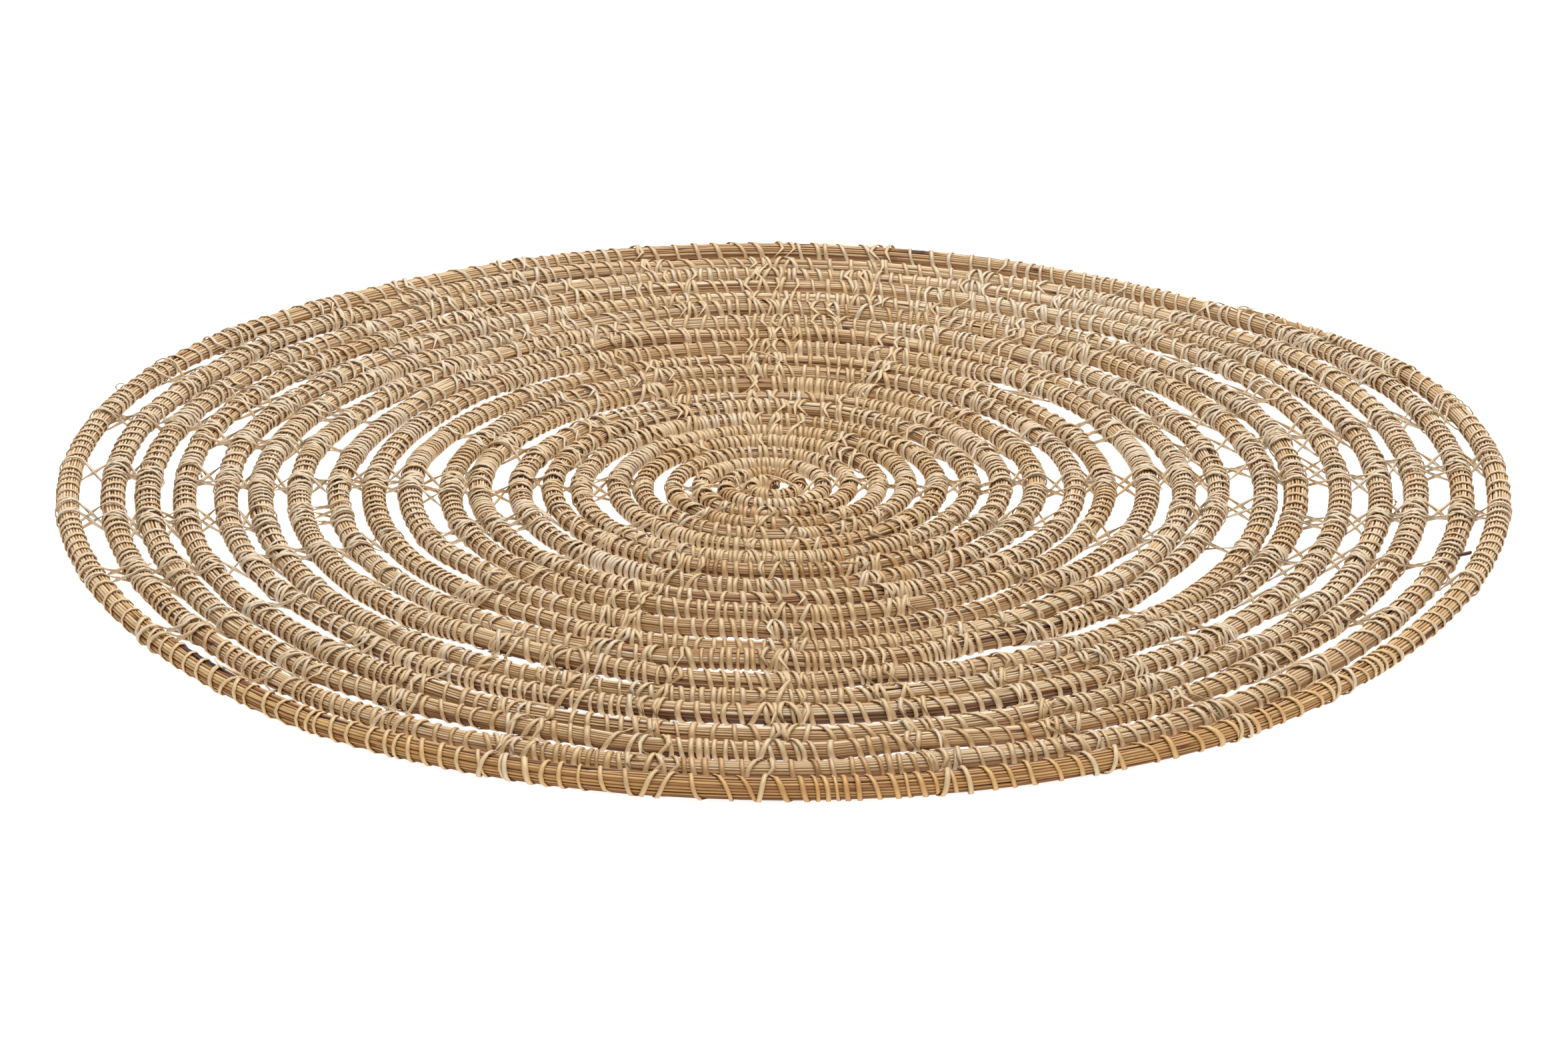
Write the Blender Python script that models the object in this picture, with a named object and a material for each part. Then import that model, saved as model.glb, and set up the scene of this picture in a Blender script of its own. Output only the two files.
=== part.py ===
"""A round placemat: one long grass coil, wound flat in an open spiral.

The coil starts thin at the middle and runs outwards counter-clockwise.  Short
bars across the gaps stand for the lashings that tie each turn to the next one.
The left and right rims rise a little; the band between them lies flat.
"""

import math

import bmesh
import bpy
from mathutils import Vector
from mathutils.kdtree import KDTree

# Sizes of the whole, in metres
RIM_RADIUS = 0.190
FLAT_HALF_WIDTH = 0.105
LIFT_LEFT = 0.00477
LIFT_RIGHT = 0.00423
RIM_SHIFT_X = 0.0024
RIM_SHIFT_Y = -0.0009
RIM_SHIFT_POWER = 3

# The winding: lengths in metres, places along the coil in turns
# The turn before 0 is the tight crook that the coil starts with
FIRST_TURN = -1.0
TURNS = 20.08
START_ANGLE = math.radians(16)
CORE_RADIUS = 0.0018
WANDER = 0.0012
WANDER_FULL_TURN = 7.0

# How far apart the turns lie: place in turns, distance in metres
PITCHES = (
    (FIRST_TURN, 0.0062),
    (4.5, 0.0081),
    (8.0, 0.0093),
    (12.0, 0.0100),
    (TURNS, 0.01025),
)

# How the hand-wound turns wander: waves a turn, phase, share
WANDER_WAVES = (
    (0.37, 0.6, 0.62),
    (1.43, 2.1, 0.38),
)

# The coil's width: place in turns, width in metres; it is pressed a little flat
WIDTHS = (
    (FIRST_TURN, 0.0040),
    (3.0, 0.0047),
    (6.0, 0.0056),
    (13.0, 0.0066),
    (21.0, 0.0069),
)
FLATTENED = 0.87
WIDTH_SWELL = 0.05
SWELL_WAVES = 2.3

# The outer end: it thins and closes up to the turn inside it
TAIL_TURNS = 0.085
TAIL_THIN = 0.42
TAIL_CLEARANCE = 0.0009

# Tie rows: first turn of each zone, rows a turn, sections between two rows
FIRST_TIE = 1.3
CORE_SECTIONS = 22
ZONES = (
    (FIRST_TIE, 4, 2),
    (4.8, 8, 2),
    (11.8, 16, 1),
)
ROWS_MOST = ZONES[-1][1]
ROW_ANGLE = math.radians(1.0)
BAR_WIDTH = 0.0042

# What counts as a pair of facets to bar: the longest facet and gap, in metres,
# the most sideways skew, the most upward tilt, and the least facing in or out
BAR_FACET_MOST = 1.3 * BAR_WIDTH
BAR_REACH = 0.009
BAR_SKEW = 0.0016
FACET_TILT_MOST = 0.5
FACING_LEAST = 0.8

SIDES_RESOLUTION = 2
FACET_TURN = math.pi / 8
WELD = 1e-6

STRAW = (0.56, 0.40, 0.20, 1.0)
STRAW_ROUGHNESS = 0.7


def smooth_step(t):
    """Ease from 0 to 1, flat at both ends."""
    t = min(max(t, 0.0), 1.0)
    return t * t * (3.0 - 2.0 * t)


def read_table(table, place):
    """Read a two-column table between its rows."""
    for (x0, y0), (x1, y1) in zip(table, table[1:]):
        if place <= x1:
            return y0 + (y1 - y0) * (place - x0) / (x1 - x0)
    return table[-1][1]


def angle_at(turn):
    """Direction from the middle, counter-clockwise as the mat is seen from above."""
    return START_ANGLE + 2.0 * math.pi * turn


def even_radius(turn):
    """Radius of the winding before the hand's wander."""
    radius = CORE_RADIUS
    for (start, pitch), (end, next_pitch) in zip(PITCHES, PITCHES[1:]):
        done = min(max(turn, start), end) - start
        growth = (next_pitch - pitch) / (end - start)
        radius += pitch * done + 0.5 * growth * done * done
    return radius


def wander_at(turn):
    """How far the coil strays in or out, by hand, growing from the middle."""
    waves = sum(
        share * math.sin(2.0 * math.pi * waves * turn + phase)
        for waves, phase, share in WANDER_WAVES
    )
    return WANDER * min(1.0, max(0.0, turn) / WANDER_FULL_TURN) * waves


def half_width_at(turn):
    """Half of the coil's width, which swells and thins as stems are added."""
    swell = 1.0 + WIDTH_SWELL * math.sin(2.0 * math.pi * SWELL_WAVES * turn)
    thin = smooth_step((turn - TURNS + TAIL_TURNS) / TAIL_TURNS)
    taper = 1.0 - (1.0 - TAIL_THIN) * thin
    return 0.5 * read_table(WIDTHS, turn) * swell * taper


def winding_radius(turn):
    """Radius of the coil's centreline, closing up to the last turn at its end."""
    free = even_radius(turn) + wander_at(turn)
    if turn < TURNS - 2.0 * TAIL_TURNS:
        return free
    inside = even_radius(turn - 1.0) + wander_at(turn - 1.0) + half_width_at(turn - 1.0)
    tucked = inside + TAIL_CLEARANCE + half_width_at(turn)
    share = smooth_step((turn - TURNS + 2.0 * TAIL_TURNS) / (2.0 * TAIL_TURNS))
    return free + (tucked - free) * share


def lift_at(x):
    """How far the mat's left and right rims stand off the table."""
    span = (abs(x) - FLAT_HALF_WIDTH) / (RIM_RADIUS - FLAT_HALF_WIDTH)
    height = LIFT_RIGHT if x > 0.0 else LIFT_LEFT
    return height * max(0.0, span) ** 2


def centre_at(turn, outset=0.0):
    """Point on the coil's centreline."""
    angle = angle_at(turn)
    radius = winding_radius(turn) + outset
    drift = (radius / RIM_RADIUS) ** RIM_SHIFT_POWER
    x = radius * math.cos(angle) + RIM_SHIFT_X * drift
    y = radius * math.sin(angle) + RIM_SHIFT_Y * drift
    z = half_width_at(turn) * math.cos(FACET_TURN) + lift_at(x) / FLATTENED
    return Vector((x, y, z))


def zone_at(turn):
    """The row of the zone table that holds this place."""
    return [zone for zone in ZONES if turn >= zone[0]][-1]


def row_turns():
    """Places along the coil that a tie row crosses, from the middle outwards."""
    first = (ROW_ANGLE - START_ANGLE) / (2.0 * math.pi)
    places = []
    for index in range(ROWS_MOST, int(ROWS_MOST * (TURNS + 1.0))):
        turn = first + index / ROWS_MOST
        inside = FIRST_TIE <= turn < TURNS
        if inside and index % (ROWS_MOST // zone_at(turn)[1]) == 0:
            places.append(turn)
    return places


def steps_between(start, end, count):
    """Even places from start up to, but without, end, with count of them inside."""
    return [start + (end - start) * k / (count + 1) for k in range(count + 1)]


def section_turns():
    """Places of all the coil's sections: two at each tie, and some between."""
    edges = []
    for turn in row_turns():
        half_width = 0.5 * BAR_WIDTH / (2.0 * math.pi * even_radius(turn))
        edges += [turn - half_width, turn + half_width]
    edges.append(TURNS)
    places = steps_between(FIRST_TURN, edges[0], CORE_SECTIONS)
    for number, (start, end) in enumerate(zip(edges, edges[1:])):
        across_bar = number % 2 == 0
        places += steps_between(start, end, 0 if across_bar else zone_at(start)[2])
    places.append(TURNS)
    return places


def chord_outset(places, index):
    """Push a section out by half the height of its arc over its chord."""
    before = places[max(index - 1, 0)]
    after = places[min(index + 1, len(places) - 1)]
    half_step = 0.5 * math.pi * (after - before)
    return 0.5 * even_radius(places[index]) * (1.0 - math.cos(0.5 * half_step))


def footprint_middle(points, halves):
    """Middle of the coil's footprint, from its centreline and half widths."""
    spans = []
    for axis in range(2):
        low = min(point[axis] - half for point, half in zip(points, halves))
        high = max(point[axis] + half for point, half in zip(points, halves))
        spans.append(0.5 * (low + high))
    return Vector((spans[0], spans[1], 0.0))


def make_coil_curve():
    """The bare coil, as a bevelled poly spline with filled ends."""
    places = section_turns()
    points = [centre_at(turn, chord_outset(places, k)) for k, turn in enumerate(places)]
    halves = [half_width_at(turn) for turn in places]
    middle = footprint_middle(points, halves)
    curve = bpy.data.curves.new("coil_path", "CURVE")
    curve.dimensions = "3D"
    curve.twist_mode = "Z_UP"
    curve.bevel_depth = 1.0
    curve.bevel_resolution = SIDES_RESOLUTION
    curve.use_fill_caps = True
    spline = curve.splines.new("POLY")
    spline.points.add(len(places) - 1)
    for knot, point, half in zip(spline.points, points, halves):
        knot.co = (*(point - middle), 1.0)
        knot.radius = half
        knot.tilt = FACET_TURN
    path = bpy.data.objects.new("coil_path", curve)
    bpy.context.scene.collection.objects.link(path)
    return path, middle


def curve_to_mesh(path, name):
    """Turn the curve into a mesh object with welded caps, pressed a little flat."""
    bpy.context.view_layer.update()
    evaluated = path.evaluated_get(bpy.context.evaluated_depsgraph_get())
    mesh = bpy.data.meshes.new_from_object(evaluated)
    piece = bpy.data.objects.new(name, mesh)
    piece.matrix_world = path.matrix_world
    bpy.data.objects.remove(path)
    body = bmesh.new()
    body.from_mesh(mesh)
    bmesh.ops.remove_doubles(body, verts=body.verts, dist=WELD)
    bmesh.ops.scale(body, vec=(1.0, 1.0, FLATTENED), verts=body.verts)
    bmesh.ops.recalc_face_normals(body, faces=body.faces)
    body.to_mesh(mesh)
    body.free()
    return piece


def facing_faces(body, middle):
    """Side facets at the tie rows: those facing outwards and those facing inwards."""
    outward = []
    inward = []
    first_radius = even_radius(FIRST_TIE - 0.5)
    for face in body.faces:
        along = max(face.edges, key=lambda edge: edge.calc_length()).calc_length()
        upright = abs(face.normal.z) <= FACET_TILT_MOST
        if len(face.verts) != 4 or not upright or along > BAR_FACET_MOST:
            continue
        out = face.calc_center_median() + middle
        out.z = 0.0
        if out.length < first_radius:
            continue
        pointing = face.normal.dot(out.normalized())
        if pointing > FACING_LEAST:
            outward.append(face)
        elif pointing < -FACING_LEAST:
            inward.append(face)
    return outward, inward


def bar_pairs(body, middle):
    """Match each outward facet with the inward facet across the gap."""
    outward, inward = facing_faces(body, middle)
    tree = KDTree(len(inward))
    for index, face in enumerate(inward):
        tree.insert(face.calc_center_median(), index)
    tree.balance()
    pairs = []
    for face in outward:
        centre = face.calc_center_median()
        near = sorted(tree.find_range(centre, BAR_REACH), key=lambda found: found[2])
        for place, index, distance in near:
            across = place - centre
            ahead = across.dot(face.normal)
            skew = math.sqrt(max(distance * distance - ahead * ahead, 0.0))
            if ahead > 0.0 and skew < BAR_SKEW:
                pairs.append((face, inward[index]))
                break
    return pairs


def tie_turns(piece, middle):
    """Fuse a bar across the gap at each tie, between the two facing facets."""
    body = bmesh.new()
    body.from_mesh(piece.data)
    body.normal_update()
    for first, second in bar_pairs(body, middle):
        edges = list(first.edges) + list(second.edges)
        bmesh.ops.delete(body, geom=[first, second], context="FACES_ONLY")
        bmesh.ops.bridge_loops(body, edges=edges)
    bmesh.ops.recalc_face_normals(body, faces=body.faces)
    body.to_mesh(piece.data)
    body.free()


def straw_material():
    """Dry grass with cane strip: pale brown and matt."""
    material = bpy.data.materials.new("dry_grass")
    material.use_nodes = True
    shader = material.node_tree.nodes["Principled BSDF"]
    shader.inputs["Base Color"].default_value = STRAW
    shader.inputs["Roughness"].default_value = STRAW_ROUGHNESS
    shader.inputs["Metallic"].default_value = 0.0
    return material


def clear_objects():
    """Empty the scene before the mat is made."""
    for old in list(bpy.data.objects):
        bpy.data.objects.remove(old)


def main():
    clear_objects()
    collection = bpy.data.collections.new("round_placemat")
    bpy.context.scene.collection.children.link(collection)
    path, middle = make_coil_curve()
    coil = curve_to_mesh(path, "coil")
    tie_turns(coil, middle)
    coil.data.materials.clear()
    coil.data.materials.append(straw_material())
    collection.objects.link(coil)


main()
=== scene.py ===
"""A round placemat of coiled grass, wrapped and lashed with split cane.

One bundle of dry grass stems is wound as a flat open spiral.  A cane strip runs
round the bundle along its whole length and is carried across the gaps in
figure-eight stitches that tie each turn to the one inside it.
"""

import logging
import math
from collections import defaultdict
from dataclasses import dataclass, field, replace
from enum import Enum

import bpy
import numpy as np
from bpy.types import ID, Material, Mesh, NodeOutputs, NodeSocket, NodeTree, Object
from mathutils import Matrix, Vector
from numpy.random import Generator, default_rng


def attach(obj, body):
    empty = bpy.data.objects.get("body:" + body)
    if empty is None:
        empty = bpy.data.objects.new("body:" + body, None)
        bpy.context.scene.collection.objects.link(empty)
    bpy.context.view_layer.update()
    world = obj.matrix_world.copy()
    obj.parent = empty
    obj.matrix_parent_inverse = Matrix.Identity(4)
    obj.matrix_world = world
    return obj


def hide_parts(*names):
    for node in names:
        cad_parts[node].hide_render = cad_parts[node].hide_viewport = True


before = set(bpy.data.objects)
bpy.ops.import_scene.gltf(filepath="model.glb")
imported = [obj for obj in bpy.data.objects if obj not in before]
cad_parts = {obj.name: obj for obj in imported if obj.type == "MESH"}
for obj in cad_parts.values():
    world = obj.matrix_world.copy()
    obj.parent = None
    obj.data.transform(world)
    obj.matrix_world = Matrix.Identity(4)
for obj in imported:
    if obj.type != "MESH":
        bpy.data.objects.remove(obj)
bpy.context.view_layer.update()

LOG = logging.getLogger("placemat")

MM = 0.001
FULL_TURN = 2.0 * math.pi
BODY = "root"
NODE = "coil"
WHITE = "#ffffff"
UP = (0.0, 0.0, 1.0)
# Width of a round section that a girth scales: the girth is its radius in millimetres
ROUND = 2.0 * MM
Array = np.ndarray
Values = Array | float


def linear(code: str) -> tuple[float, float, float, float]:
    """Turn an sRGB hex colour into linear values for a shader.

    Args:
        code: The colour as six hex digits after a hash sign.

    Returns:
        Red, green, blue and alpha, each from 0 to 1.
    """
    parts = [int(code[i:i + 2], 16) / 255.0 for i in (1, 3, 5)]
    low = [p / 12.92 if p <= 0.04045 else ((p + 0.055) / 1.055) ** 2.4 for p in parts]
    return (low[0], low[1], low[2], 1.0)


def ease(share: Values) -> Values:
    """Ease from 0 to 1, flat at both ends."""
    t = np.clip(share, 0.0, 1.0)
    return t * t * (3.0 - 2.0 * t)


def read_table(table: tuple, place: Values) -> Values:
    """Read a table of places and values, with straight lines between its rows."""
    return np.interp(place, *zip(*table))


def put(name: str, data: ID) -> Object:
    """Make an object of the data and put it in the scene."""
    made = bpy.data.objects.new(name, data)
    bpy.context.scene.collection.objects.link(made)
    return made


@dataclass(frozen=True)
class Drift:
    """A smooth random wave, the same on every run.

    Attributes:
        seed: Start of the random draw.
        count: How many values the wave has before it repeats.
    """

    seed: int
    count: int = 4096

    def at(self, place: Values) -> Values:
        """Read the wave, from -1 to 1, at places one unit apart for each new value."""
        table = default_rng(self.seed).uniform(-1.0, 1.0, self.count)
        low = np.floor(place).astype(int)
        share = ease(place - low)
        first = table[low % self.count]
        return first + (table[(low + 1) % self.count] - first) * share


@dataclass(frozen=True)
class Winding:
    """The course of the coil: where its middle runs and how wide it is.

    Lengths are in metres, and a place along the coil is given in turns.  The turn
    before 0 is the tight crook that the coil starts with.
    """

    first: float = -1.0
    turns: float = 20.08
    start_angle: float = math.radians(16)
    core_radius: float = 0.0018
    pitches: tuple = (
        (-1.0, 0.0062), (4.5, 0.0081), (8.0, 0.0093), (12.0, 0.0100), (20.08, 0.01025),
    )
    wander_size: float = 0.0012
    wander_full_turn: float = 7.0
    wander_waves: tuple = ((0.37, 0.6, 0.62), (1.43, 2.1, 0.38))
    widths: tuple = (
        (-1.0, 0.0041), (2.0, 0.0050), (4.0, 0.0057), (7.0, 0.0062), (13.0, 0.0066),
        (21.0, 0.0069),
    )
    pressed: tuple = ((-1.0, 0.87), (4.0, 0.80), (18.5, 0.76), (19.3, 0.87))
    rise_size: float = 0.0015
    rise_share: tuple = ((7.0, 0.0), (11.0, 1.0), (18.5, 1.0), (19.1, 0.0))
    rises_a_turn: float = 23.0
    rise_seed: int = 5
    swell_size: float = 0.05
    swell_waves: float = 2.3
    tail_turns: float = 0.085
    tail_thin: float = 0.42
    tail_clearance: float = 0.0009
    rim_radius: float = 0.190
    flat_half_width: float = 0.105
    lift_left: float = 0.0054
    lift_right: float = 0.0050
    lift_power: float = 1.3
    rim_shift: tuple = (0.0024, -0.0009)
    rim_shift_power: int = 3
    samples: int = 24000

    def even_radius(self, turn: Values) -> Values:
        """Radius of the winding before the hand's wander."""
        radius = self.core_radius
        for (start, pitch), (end, following) in zip(self.pitches, self.pitches[1:]):
            done = np.clip(turn, start, end) - start
            growth = (following - pitch) / (end - start)
            radius = radius + pitch * done + 0.5 * growth * done * done
        return radius

    def angle(self, turn: Values) -> Values:
        """Direction of a place on the coil from the spiral's centre, 0 to the right."""
        return self.start_angle + FULL_TURN * turn

    def around(self, turn: Values) -> Values:
        """Length once round the mat, in the gap outside a place on the coil."""
        return FULL_TURN * self.even_radius(turn + 0.5)

    def wander(self, turn: Values) -> Values:
        """How far the coil strays in or out."""
        waves = sum(
            share * np.sin(FULL_TURN * waves * turn + phase)
            for waves, phase, share in self.wander_waves
        )
        return self.wander_size * np.clip(turn / self.wander_full_turn, 0.0, 1.0) * waves

    def half(self, turn: Values) -> Values:
        """Half of the coil's width over its wrap."""
        swell = 1.0 + self.swell_size * np.sin(FULL_TURN * self.swell_waves * turn)
        thin = ease((turn - self.turns + self.tail_turns) / self.tail_turns)
        kept = 1.0 - (1.0 - self.tail_thin) * thin
        return 0.5 * read_table(self.widths, turn) * swell * kept

    def squeeze(self, turn: Values) -> Values:
        """Height of the coil as a share of its width."""
        return read_table(self.pressed, turn)

    def rise(self, turn: Values) -> Values:
        """How far a stretch of a turn rides off the table."""
        wave = np.maximum(0.0, Drift(self.rise_seed).at(turn * self.rises_a_turn))
        return self.rise_size * wave * read_table(self.rise_share, turn)

    def tucked(self, turn: Values) -> Values:
        """How far the tail has closed up to the turn inside it, as a share."""
        reach = 2.0 * self.tail_turns
        return ease((turn - self.turns + reach) / reach)

    def radius(self, turn: Values) -> Values:
        """Radius of the coil's middle line, closing up to the last turn at its end."""
        free = self.even_radius(turn) + self.wander(turn)
        before = turn - 1.0
        inside = self.even_radius(before) + self.wander(before) + self.half(before)
        closed = inside + self.tail_clearance + self.half(turn)
        return free + (closed - free) * self.tucked(turn)

    def tail_raise(self, turn: Values) -> Values:
        """How far the thin end is held up, to lie level with the turn inside it."""
        thinner = self.half(turn - 1.0) - self.half(turn)
        return self.squeeze(turn) * thinner * self.tucked(turn)

    def lift(self, x: Values) -> Values:
        """How far the left and right rims stand off the table."""
        span = (np.abs(x) - self.flat_half_width) / (self.rim_radius - self.flat_half_width)
        share = np.maximum(0.0, span) ** self.lift_power
        return np.where(x > 0.0, self.lift_right, self.lift_left) * share

    def loose_centre(self, turn: Values) -> Values:
        """Points on the middle line, measured from the spiral's own centre."""
        angle = self.angle(turn)
        radius = self.radius(turn)
        share = (radius / self.rim_radius) ** self.rim_shift_power
        x = radius * np.cos(angle) + self.rim_shift[0] * share
        y = radius * np.sin(angle) + self.rim_shift[1] * share
        z = self.half(turn) * self.squeeze(turn) + self.lift(x)
        z = z + self.rise(turn) + self.tail_raise(turn)
        return np.stack([x, y, z], axis=-1)

    def middle(self) -> Array:
        """Middle of the mat's footprint, measured from the spiral's own centre."""
        turn = np.linspace(self.first, self.turns, self.samples)
        points, half = self.loose_centre(turn)[:, :2], self.half(turn)[:, None]
        low, high = (points - half).min(axis=0), (points + half).max(axis=0)
        return np.array([*(0.5 * (low + high)), 0.0])


class Coil(Winding):
    """The winding made ready to build on: lengths, directions and surface points.

    Painted light that makes parts paler, and the rim's golden tint, are shares of the tone
    scale.  Where they start and how far they reach are shares of the rim's radius, and
    turns for the rim's tint.
    """

    STEP = 1e-4
    LEAST_HEIGHT = 0.3 * MM
    TINT_LEAST, TINT_TURNS, TINT_REACH = 0.15, 1.02, 0.03
    # Painted light: shares by which the sides, the right a little more, and the back are made
    # paler, less so at the front
    SIDE_PALE, SIDE_REACH, RIGHT_PALE = 0.33, 0.55, 0.04
    FRONT_LESS, FRONT_FROM, FRONT_REACH = 0.55, 0.3, 0.45
    BACK_PALE, BACK_FROM, BACK_REACH = 0.10, 0.5, 0.5

    def __init__(self) -> None:
        """Measure the winding once, so that a length can be turned into a place."""
        super().__init__()
        self.origin = self.middle()
        self.places = np.linspace(self.first, self.turns, self.samples)
        points = self.loose_centre(self.places)
        steps = np.linalg.norm(np.diff(points, axis=0), axis=1)
        self.runs = np.concatenate([[0.0], np.cumsum(steps)])
        self.length = self.runs[-1]

    def turn_at(self, run: Values) -> Values:
        """Place in turns of a length along the coil."""
        return np.interp(run, self.runs, self.places)

    def run_at(self, turn: Values) -> Values:
        """Length along the coil of a place in turns."""
        return np.interp(turn, self.places, self.runs)

    def axes(self, turn: Array) -> tuple[Array, Array, Array, Array]:
        """Middle point and the three directions of the coil at each place.

        Args:
            turn: Places in turns.

        Returns:
            The middle points, and unit vectors along the coil, outwards and up.
        """
        centre = self.loose_centre(turn) - self.origin
        ahead = self.loose_centre(turn + self.STEP)
        along = ahead - self.loose_centre(turn - self.STEP)
        along /= np.linalg.norm(along, axis=-1, keepdims=True)
        out = np.cross(along, UP)
        out /= np.linalg.norm(out, axis=-1, keepdims=True)
        return centre, along, out, np.cross(out, along)

    def rim_tint(self, turn: Values) -> Values:
        """Share of the rim turn's golden tint, strongest at the front."""
        front = ease(-np.sin(self.angle(turn)))
        share = self.TINT_LEAST + (1.0 - self.TINT_LEAST) * front
        return share * ease((turn - self.turns + self.TINT_TURNS) / self.TINT_REACH)

    def painted_light(self, turn: Values) -> Values:
        """Painted light: how much paler the left, the right and the back of the mat are made."""
        place = self.loose_centre(turn) / self.rim_radius
        x, y = place[..., 0], place[..., 1]
        sides = self.SIDE_PALE * ease(np.abs(x) / self.SIDE_REACH)
        sides = sides + self.RIGHT_PALE * np.maximum(0.0, x)
        front = ease((-self.FRONT_FROM - y) / self.FRONT_REACH)
        back = ease((y - self.BACK_FROM) / self.BACK_REACH)
        return sides * (1.0 - self.FRONT_LESS * front) + self.BACK_PALE * back

    def surface(self, run: Array, angle: Array, depth: Array
                ) -> tuple[Array, Array]:
        """Points under the coil's skin, none of them sunk into the table, and the way out.

        Args:
            run: Lengths along the coil.
            angle: Direction round the coil: 0 outwards, a quarter turn upwards.
            depth: Depth under the skin over the wrap.

        Returns:
            The points, and unit vectors pointing out of the coil.
        """
        turn = self.turn_at(run)
        centre, _, out, up = self.axes(turn)
        half = self.half(turn)
        wide = (half - depth) * np.cos(angle)
        tall = (half * self.squeeze(turn) - depth) * np.sin(angle)
        points = centre + out * wide[:, None] + up * tall[:, None]
        points[:, 2] = np.maximum(points[:, 2], self.LEAST_HEIGHT)
        outward = out * np.cos(angle)[:, None] + up * np.sin(angle)[:, None]
        return points, outward


class Profile(Enum):
    """The cross-sections that a path can be given, by their number of sides."""

    STEM = 4
    STRIP = 5
    FILL = 8


def add_node(tree: NodeTree, kind: str, links: dict | None = None,
             **settings: object) -> NodeOutputs:
    """Add a node, with its settings, input values and links.

    Args:
        tree: The node tree that it goes into.
        kind: The node's type name.
        links: Input name or number to a value, or to the socket that feeds it.
        settings: The node's own properties.

    Returns:
        The new node's outputs.
    """
    node = tree.nodes.new(kind)
    for name, value in settings.items():
        setattr(node, name, value)
    for name, value in (links or {}).items():
        if isinstance(value, NodeSocket):
            tree.links.new(value, node.inputs[name])
        else:
            node.inputs[name].default_value = value
    return node.outputs


class SweepTree:
    """Geometry nodes that sweep a rounded strip or stem along each path."""

    def __init__(self) -> None:
        """Build the tree once; each piece that uses it sets its own inputs."""
        self.tree = bpy.data.node_groups.new("sweep_along_paths", "GeometryNodeTree")
        self.tree.is_modifier = True
        sockets = self.tree.interface
        sockets.new_socket("Paths", in_out="INPUT", socket_type="NodeSocketGeometry")
        sockets.new_socket("Swept", in_out="OUTPUT", socket_type="NodeSocketGeometry")
        self.inputs = {
            name: sockets.new_socket(name, in_out="INPUT", socket_type=kind).identifier
            for name, kind in (
                ("Width", "NodeSocketFloat"), ("Thickness", "NodeSocketFloat"),
                ("Sides", "NodeSocketInt"), ("Finish", "NodeSocketMaterial"),
            )
        }
        self._wire()

    def _wire(self) -> None:
        """Join the nodes: paths, the way out, the profile, the sweep and the finish."""
        tree = self.tree
        given = add_node(tree, "NodeGroupInput")
        path = add_node(tree, "GeometryNodeMeshToCurve", {0: given["Paths"]})
        way, girth = (
            add_node(tree, "GeometryNodeInputNamedAttribute", {"Name": name}, data_type=kind)[0]
            for name, kind in (("out", "FLOAT_VECTOR"), ("girth", "FLOAT"))
        )
        faced = add_node(
            tree, "GeometryNodeSetCurveNormal", {"Curve": path[0], "Normal": way}, mode="FREE"
        )
        swept = add_node(
            tree, "GeometryNodeCurveToMesh",
            {
                "Curve": faced[0], "Profile Curve": self._profile(given), "Scale": girth,
                "Fill Caps": True,
            },
        )
        smooth = add_node(tree, "GeometryNodeSetShadeSmooth", {0: swept[0]})
        whole = add_node(tree, "GeometryNodeRealizeInstances", {0: smooth[0]})
        dressed = add_node(
            tree, "GeometryNodeSetMaterial", {"Geometry": whole[0], "Material": given["Finish"]}
        )
        add_node(tree, "NodeGroupOutput", {0: dressed[0]})

    def _profile(self, given: NodeOutputs) -> NodeSocket:
        """An ellipse that keeps how near each of its points is to the crown."""
        tree = self.tree
        circle = add_node(
            tree, "GeometryNodeCurvePrimitiveCircle", {"Resolution": given["Sides"], "Radius": 0.5}
        )
        place = add_node(tree, "GeometryNodeInputPosition")
        across = add_node(tree, "ShaderNodeSeparateXYZ", {0: place[0]})
        marked = add_node(
            tree, "GeometryNodeStoreNamedAttribute",
            {0: circle[0], "Name": "crown", "Value": across[0]},
            data_type="FLOAT", domain="POINT",
        )
        size = add_node(
            tree, "ShaderNodeCombineXYZ", {"X": given["Thickness"], "Y": given["Width"], "Z": 1.0}
        )
        scaled = add_node(
            tree, "GeometryNodeTransform", {0: marked[0], "Scale": size[0]}
        )
        return scaled[0]


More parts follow.
